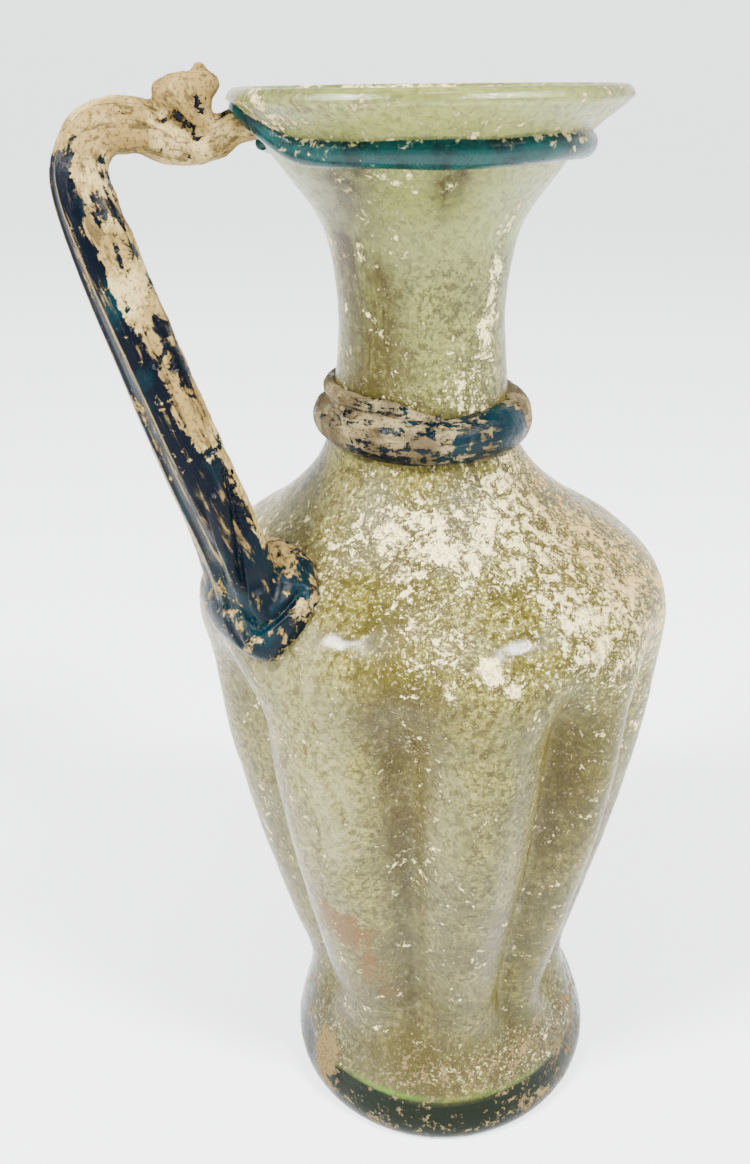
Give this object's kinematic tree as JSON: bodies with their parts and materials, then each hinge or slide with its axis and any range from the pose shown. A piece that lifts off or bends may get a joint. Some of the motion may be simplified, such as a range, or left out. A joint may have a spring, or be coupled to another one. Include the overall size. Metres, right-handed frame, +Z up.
{
  "type": "glass jug",
  "caption": "Ancient blown glass jug with fluted body, thick foot, flared mouth, coloured trail and neck coil, and a ribbed strap handle with a thumb rest.",
  "frame": {"origin": "middle of the flat underside of the foot", "axes": "+Z up along the vessel, -X towards the side that carries the handle, +Y to the left of someone who looks from the handle across the jug"},
  "size_m": [0.1, 0.086, 0.2028],
  "materials": {
    "green_glass": "pale green blown glass under a cream burial crust",
    "teal_glass": "glossy teal glass with dark pitting",
    "navy_glass": "near-black blue glass under mauve and beige crust"
  },
  "bodies": {
    "root": {"vessel": "green_glass", "rim_trail": "teal_glass", "neck_coil": "navy_glass", "handle": "navy_glass"}
  },
  "joints": []
}
